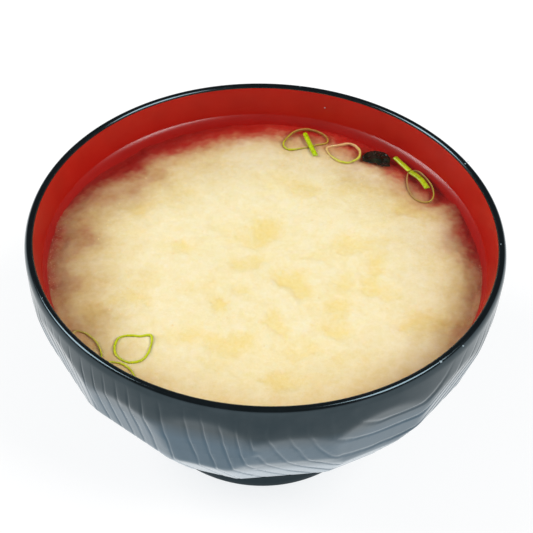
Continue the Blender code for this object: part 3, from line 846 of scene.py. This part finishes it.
def scallion_finish(name, skin, inside, rim):
    """Scallion leaf: fine fibres that run up the wall, a bright cut edge, wet all over. What lies
    deeper in the broth takes on its colour."""
    made, tree, shader = new_finish(name)
    fibre = scatter(tree, 3400, 3.0, (1.0, 1.0, 0.12))
    rib = scatter(tree, 1500, 1.0, (1.0, 1.0, 0.06))
    blotch = scatter(tree, 500, 2.0)
    shadow = tuple(0.45 * c for c in skin[:3]) + (1.0,)
    colour = dapple(tree, fibre, skin, inside, 0.36, 0.62)
    for share, low, high, low_out, high_out, over in (
            (rib, 0.42, 0.56, 0.55, 0.0, shadow), (blotch, 0.4, 0.7, 0.0, 0.5, rim),
            (stored(tree, "cut"), 0.3, 0.9, 0.0, 0.75, rim),
            (stored(tree, "sunk"), 0.0, 1.0, 0.0, 0.94, stored(tree, "veil", "Color"))):
        colour = blend(tree, ramp(tree, share, low, high, low_out, high_out), colour, over)
    feed(tree, shader, {
        "Base Color": colour, "Roughness": ramp(tree, blotch, 0.3, 0.7, 0.24, 0.36), "Specular IOR Level": 0.4,
        "Subsurface Weight": 0.25, "Subsurface Radius": (0.6, 1.0, 0.2), "Subsurface Scale": 0.4 * MM,
        "Normal": relief(tree, rib, 0.6, 0.10 * MM)})
    return made


def mark_garnish(piece, cut, dull, veil, way):
    """Keep how near the cut edge each vertex is, how deep it lies in the broth, and what colour the
    broth gives it there. A piece is duller towards one side."""
    spots = places(piece.data)
    far = (spots[:, :2] - spots[:, :2].mean(axis=0)) @ np.array(way)
    dull = dull + 0.5 * dull * far / abs(far).max()
    store(piece.data, "cut", cut)
    store(piece.data, "sunk", np.clip((SOUP_Z - spots[:, 2]) / (1.4 * MM) + dull, 0, 1))
    tinge = piece.data.attributes.new("veil", "FLOAT_COLOR", "POINT")
    tinge.data.foreach_set("color", np.tile(np.array(rgb(*veil), np.float32), len(spots)))


def superellipse(k, sides, squareness, flatness):
    """Point k of a rounded section, across and up, each from -1 to 1."""
    c, h = math.cos(2 * math.pi * k / sides), math.sin(2 * math.pi * k / sides)
    return math.copysign(abs(c) ** squareness, c), math.copysign(abs(h) ** flatness, h)


scallion = scallion_finish("scallion_ring", rgb(166, 186, 2), rgb(182, 198, 12), rgb(200, 210, 30))
for number, (name, (outline, lift, tip, dull, veil, way, stout)) in enumerate(RINGS.items()):
    path, length = smooth_path(outline, RING_STEPS, True)
    middle = np.mean(np.array(outline), axis=0) * MM
    run = np.arange(RING_STEPS) * length / RING_STEPS
    turn = run / length * 2 * math.pi  # the unevenness is read round a circle, so that it closes
    loop_x, loop_y = np.cos(turn) * length / 6.283, np.sin(turn) * length / 6.283
    wave = swell(loop_x, loop_y, 1.3 * MM, 40 + number)
    thick = stout * (1 - 0.3 * max(0.0, dull)) * (1 + 0.25 * swell(loop_x, loop_y, 2.2 * MM, 50 + number))
    nick = swell(loop_x, loop_y, 0.7 * MM, 60 + number)
    centre = SOUP_Z + lift * MM + (path - middle) @ np.array(tip)
    sections = np.empty((RING_STEPS, SIDES, 2))
    for k in range(SIDES):
        bulge, rise = superellipse(k, SIDES, 0.55, 0.75)
        up = max(0.0, math.sin(2 * math.pi * k / SIDES))
        sections[:, k, 0] = bulge * RING_WALL / 2 * thick + RING_WAVE * wave
        sections[:, k, 1] = centre + rise * (RING_TALL / 2 - RING_EASE) + RING_NICK * nick * up
    ring = sweep_along(name + "_slice", path, sections, True)
    spots = places(ring.data)
    level = SOUP_Z + lift * MM + (spots[:, :2] - middle) @ np.array(tip)
    ring_cut = np.clip((spots[:, 2] - level) / (RING_TALL / 2), 0, 1) ** 3
    mark_garnish(ring, ring_cut, dull, veil, way)
    ring.data.materials.append(scallion)
    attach(ring, "root")
    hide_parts(name)

# ---- scallion slivers
# Narrow strips of the darker leaf end, cut lengthwise, bright yellow-green and slightly cupped.
# One lies over the back ring, one beside the wakame, and its tail over the long ring.

SLIVERS = {  # middle line in millimetres, width, height over the soup, dullness
    "scallion_sliver_back": ([(9.7, 47.9), (11.0, 43.4), (12.7, 38.2)], 1.36, 0.34, 0.0),
    "scallion_sliver_side": ([(34.2, 38.9), (35.8, 36.5), (37.9, 33.4)], 1.5, 0.06, 0.4),
    "scallion_sliver_tail": ([(38.0, 33.1), (40.5, 30.2), (42.1, 26.4)], 1.6, 0.10, 0.5),
}
SLIVER_THICK = 0.5 * MM
SLIVER_CUP = 0.22 * MM
SLIVER_END = 0.28 * MM  # length over which its ends thin out
SLIVER_WAVE = 0.06 * MM
SLIVER_STEPS = 56
SLIVER_SIDES = 16
strip = scallion_finish("scallion_strip", rgb(168, 196, 2), rgb(182, 208, 8), rgb(200, 216, 30))
for number, (name, (line, width, lift, dull)) in enumerate(SLIVERS.items()):
    path, length = smooth_path(line, SLIVER_STEPS, False)
    run = np.linspace(0, length, SLIVER_STEPS)
    ends = np.clip(np.minimum(run, length - run) / SLIVER_END, 0, 1) ** 0.5
    edge_wave = swell(run, 0 * run, 1.6 * MM, 70 + number)
    sections = np.empty((SLIVER_STEPS, SLIVER_SIDES, 2))
    for k in range(SLIVER_SIDES):
        reach, side = superellipse(k, SLIVER_SIDES, 0.7, 0.8)
        wide = width * MM / 2 * (0.82 + 0.18 * ends) * (1 + 0.06 * edge_wave)
        sections[:, k, 0] = reach * wide
        sections[:, k, 1] = (SOUP_Z + lift * MM + side * SLIVER_THICK / 2 * (0.5 + 0.5 * ends)
                             - SLIVER_CUP * reach**2
                             + SLIVER_WAVE * swell(run, 0 * run + reach * MM, 2.5 * MM, 80 + number))
    sliver = sweep_along(name + "_strip", path, sections, False)
    mark_garnish(sliver, np.zeros(len(sliver.data.vertices)), dull, (146, 150, 24), (0.0, 1.0))
    sliver.data.materials.append(strip)
    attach(sliver, "root")
    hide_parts(name)

# ---- wakame
# A soaked scrap of seaweed, nearly black, crumpled flat on the surface with a frilled thin edge:
# two folded skins that meet along its outline.

WAKAME = [(26.3, 38.9), (26.2, 37.2), (27.6, 36.3), (29.2, 36.2), (31.0, 34.7), (32.5, 34.7), (32.7, 36.7),
          (32.6, 39.0), (31.2, 40.7), (29.0, 41.0), (27.4, 40.3)]
LEAF_STEPS = 120
LEAF_RINGS = 16
LEAF_THICK = 0.34 * MM
LEAF_SPREAD = (1.14, 1.08)  # how much the soaked leaf has spread over its outline
LEAF_OVER = 0.12 * MM  # height of its middle over the soup
outline, _ = smooth_path(WAKAME, LEAF_STEPS, True)
middle = outline.mean(axis=0)
outline = middle + (outline - middle) * LEAF_SPREAD - (0.35 * MM, 0)
frill = 1 + 0.05 * swell(*outline.T, 0.9 * MM, 90) + 0.03 * swell(*outline.T, 0.4 * MM, 91)
spots, faces = [], []
for side in (1, -1):
    for ring in range(1, LEAF_RINGS + 1):
        share = (ring / LEAF_RINGS) ** 0.8
        flat = middle + (outline - middle) * (share * (1 + (frill - 1) * share**3))[:, None]
        fold = swells(*flat.T, (0.34 * MM, 2.0 * MM, 92), (0.16 * MM, 0.8 * MM, 93), (0.07 * MM, 0.35 * MM, 94))
        thick = LEAF_THICK / 2 * math.sqrt(max(0.0, 1 - share**6))
        level = SOUP_Z + LEAF_OVER + fold + side * thick
        spots += [(x, y, z) for (x, y), z in zip(flat, level)]
for side in (0, 1):
    base = side * LEAF_STEPS * LEAF_RINGS
    for ring in range(LEAF_RINGS - 1):
        faces += join_rows(base + ring * LEAF_STEPS, base + (ring + 1) * LEAF_STEPS, LEAF_STEPS)
    hub = [z for x, y, z in spots[base:base + LEAF_STEPS]]
    spots.append((*middle, sum(hub) / LEAF_STEPS))
    faces += [(base + k, base + (k + 1) % LEAF_STEPS, len(spots) - 1) for k in range(LEAF_STEPS)]
leaf = finished("wakame_leaf", mesh_of("wakame_leaf", spots, faces))

seaweed, tree, shader = new_finish("wakame")
vein = scatter(tree, 1500, 3.0)
patch = scatter(tree, 420, 2.0)
colour = dapple(tree, vein, rgb(7, 11, 5), rgb(15, 22, 10))
feed(tree, shader, {
    "Base Color": blend(tree, ramp(tree, patch, 0.5, 0.75, 0.0, 0.6), colour, rgb(34, 46, 24)),
    "Roughness": ramp(tree, patch, 0.3, 0.7, 0.22, 0.4),
    "Specular IOR Level": 0.28,
    "Normal": relief(tree, vein, 0.5, 0.08 * MM)})
leaf.data.materials.append(seaweed)
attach(leaf, "root")
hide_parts("wakame")

# ---- froth and flecks
# Where the cloud meets the wall to the left and right, a little froth has gathered: tiny bubbles
# along the surface. Flecks of bean skin hang in the top of the cloud.

FROTH_ZONES = [(168, 206, 50.4, 53.3), (334, 358, 51.2, 53.3), (177, 187, 46.5, 50.0)]  # degrees, millimetres
spots, faces = [], []
for first, last, inner_edge, outer_edge in FROTH_ZONES:
    steps = max(2, (last - first) // 3)
    for k in range(steps):
        start = len(spots)
        for a, r in ((k, inner_edge), (k, outer_edge), (k + 1, outer_edge), (k + 1, inner_edge)):
            a = math.radians(first + (last - first) * a / steps)
            spots.append((r * MM * math.cos(a), r * MM * math.sin(a), SOUP_Z + 0.02 * MM))
        faces.append((start, start + 1, start + 2, start + 3))


def grainy_finish(name, scale, first, second, low_rough, high_rough):
    """A plain finish of two colours in a fine grain."""
    made, tree, shader = new_finish(name)
    grains = scatter(tree, scale, 2.0)
    feed(tree, shader, {
        "Base Color": dapple(tree, grains, rgb(*first), rgb(*second)),
        "Roughness": ramp(tree, grains, 0.3, 0.7, low_rough, high_rough)})
    return made


froth_finish = grainy_finish("froth", 2600, (204, 140, 114), (222, 176, 146), 0.15, 0.3)
fleck_finish = grainy_finish("bean_fleck", 2600, (232, 204, 140), (242, 222, 166), 0.5, 0.7)


def speckle_tree(name, finish):
    """Scatter small lumps over a bed's faces: how many to a square metre, their radii, how flat."""
    made, start, out = make_tree(name, [
        ("Density", "NodeSocketFloat", 1.0), ("Smallest", "NodeSocketFloat", 0.1 * MM),
        ("Largest", "NodeSocketFloat", 0.2 * MM), ("Flatness", "NodeSocketFloat", 1.0),
        ("Seed", "NodeSocketInt", 1)])
    spread = place_node(made, "GeometryNodeDistributePointsOnFaces", {
        "Mesh": start.outputs["Geometry"], "Density": start.outputs["Density"], "Seed": start.outputs["Seed"]})
    size = place_node(made, "FunctionNodeRandomValue", {
        2: start.outputs["Smallest"], 3: start.outputs["Largest"],
        "Seed": start.outputs["Seed"]}, data_type="FLOAT")
    low = maths(made, "MULTIPLY", size.outputs[1], start.outputs["Flatness"])
    shape = place_node(made, "ShaderNodeCombineXYZ", {"X": size.outputs[1], "Y": size.outputs[1], "Z": low})
    lump = place_node(made, "GeometryNodeMeshIcoSphere", {"Radius": 1.0, "Subdivisions": 2})
    placed = place_node(made, "GeometryNodeInstanceOnPoints", {
        "Points": spread.outputs["Points"], "Instance": lump.outputs["Mesh"], "Scale": shape.outputs["Vector"]})
    close_tree(made, placed.outputs["Instances"], finish, out)
    return made


froth = linked("froth", mesh_of("froth_bed", spots, faces))
run_tree(froth, speckle_tree("froth", froth_finish), {
    "Density": 3.2e6, "Smallest": 0.03 * MM, "Largest": 0.095 * MM, "Flatness": 0.5, "Seed": 3})
froth.data.shade_smooth()
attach(froth, "root")

spots = [(r * MM * math.cos(a), r * MM * math.sin(a), SOUP_Z - 0.42 * MM)
         for r in (2.0, 43.0) for a in np.linspace(0, 2 * math.pi, 33)[:-1]]
faces = [(k, 32 + k, 32 + (k + 1) % 32, (k + 1) % 32) for k in range(32)]
flecks = linked("bean_flecks", mesh_of("fleck_bed", spots, faces))
run_tree(flecks, speckle_tree("bean_flecks", fleck_finish), {
    "Density": 4.0e4, "Smallest": 0.06 * MM, "Largest": 0.18 * MM, "Flatness": 0.55, "Seed": 8})
flecks.data.shade_smooth()
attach(flecks, "root")

# ---- dust
# A few pale motes on the black lip and the red wall, as on any bowl carried to the table. Each is
# a small ball, dented and pressed flat.

MOTES = [  # place and radius, in millimetres
    (-49.1, -27.8, 64.0, 0.24), (-41.0, -38.9, 63.9, 0.34), (38.1, -42.2, 64.1, 0.32),
    (43.4, -37.4, 64.0, 0.20), (15.0, 52.7, 59.5, 0.24), (42.0, 38.4, 61.0, 0.22),
    (7.9, 55.8, 64.1, 0.18), (50.3, 24.7, 64.1, 0.20), (55.7, -4.9, 64.05, 0.14),
    (51.1, 25.6, 64.1, 0.13), (-20.0, 52.9, 63.9, 0.12)]
bm = bmesh.new()
for number, (x, y, z, radius) in enumerate(MOTES):
    ball = bmesh.ops.create_icosphere(bm, subdivisions=2, radius=radius * MM)["verts"]
    for v in ball:
        bump = swell(np.array([v.co.x]), np.array([v.co.y + v.co.z]), 0.25 * MM, 100 + number)[0]
        v.co = v.co * (1 + 0.2 * bump)
        v.co.z *= 0.6
        v.co += Vector((x, y, z)) * MM
mote_mesh = bpy.data.meshes.new("dust_motes")
bm.to_mesh(mote_mesh)
bm.free()
motes = finished("dust_motes", mote_mesh)
motes.data.materials.append(grainy_finish("dust", 3000, (112, 128, 136), (158, 176, 184), 0.5, 0.8))
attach(motes, "root")

# ---- floor and light
# A white sweep under two large soft boxes, one to each side, with the pale walls of a studio low
# down and a dark ceiling.

FLOOR_R = 4.0
FLOOR_SIDES = 64
LAMPS_FACE = (0, 0, 0.05)
turns = [k * 2 * math.pi / FLOOR_SIDES for k in range(FLOOR_SIDES)]
spots = [(FLOOR_R * math.cos(a), FLOOR_R * math.sin(a), 0.0) for a in turns]
floor = linked("floor", mesh_of("floor", spots, [list(range(FLOOR_SIDES))]))
sweep, tree, shader = new_finish("white_sweep")
feed(tree, shader, {
    "Base Color": dapple(tree, scatter(tree, 3, 2.0), (0.270, 0.245, 0.225, 1.0), (0.290, 0.265, 0.245, 1.0),
                         0.3, 0.7),
    "Roughness": 0.9, "Specular IOR Level": 0.1,
    "Emission Color": (0.945, 0.975, 1.0, 1.0), "Emission Strength": 0.81})
sweep.cycles.emission_sampling = "NONE"  # so that light is looked for in the soft boxes first
floor.data.materials.append(sweep)
floor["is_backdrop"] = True


def soft_box(name, way, distance, size, power):
    """A square lamp that faces the bowl from that way."""
    lamp = bpy.data.lights.new(name, "AREA")
    lamp.shape = "SQUARE"
    lamp.size = size
    lamp.energy = power
    box = linked(name, lamp)
    way = Vector(way).normalized()
    box.location = way * distance + Vector(LAMPS_FACE)
    box.rotation_euler = way.to_track_quat("Z", "Y").to_euler()


soft_box("soft_box_right", (0.61, -0.23, 0.757), 1.0, 0.55, 7.7)
soft_box("soft_box_left", (-0.73, 0.04, 0.677), 1.0, 0.55, 7.7)

world = bpy.data.worlds.new("studio")
world.use_nodes = True
bpy.context.scene.world = world
tree = world.node_tree
way = place_node(tree, "ShaderNodeTexCoord").outputs["Generated"]
height = place_node(tree, "ShaderNodeSeparateXYZ", {"Vector": way}).outputs["Z"]
feed(tree, tree.nodes["Background"], {
    "Color": (0.96, 0.98, 1.0, 1.0), "Strength": ramp(tree, height, 0.03, 0.16, 1.0, 0.16)})
bpy.context.scene.view_settings.view_transform = "Standard"

visual_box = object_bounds()
[[list(map(float, corner)) for corner in box] for box in (cad_box, visual_box)]
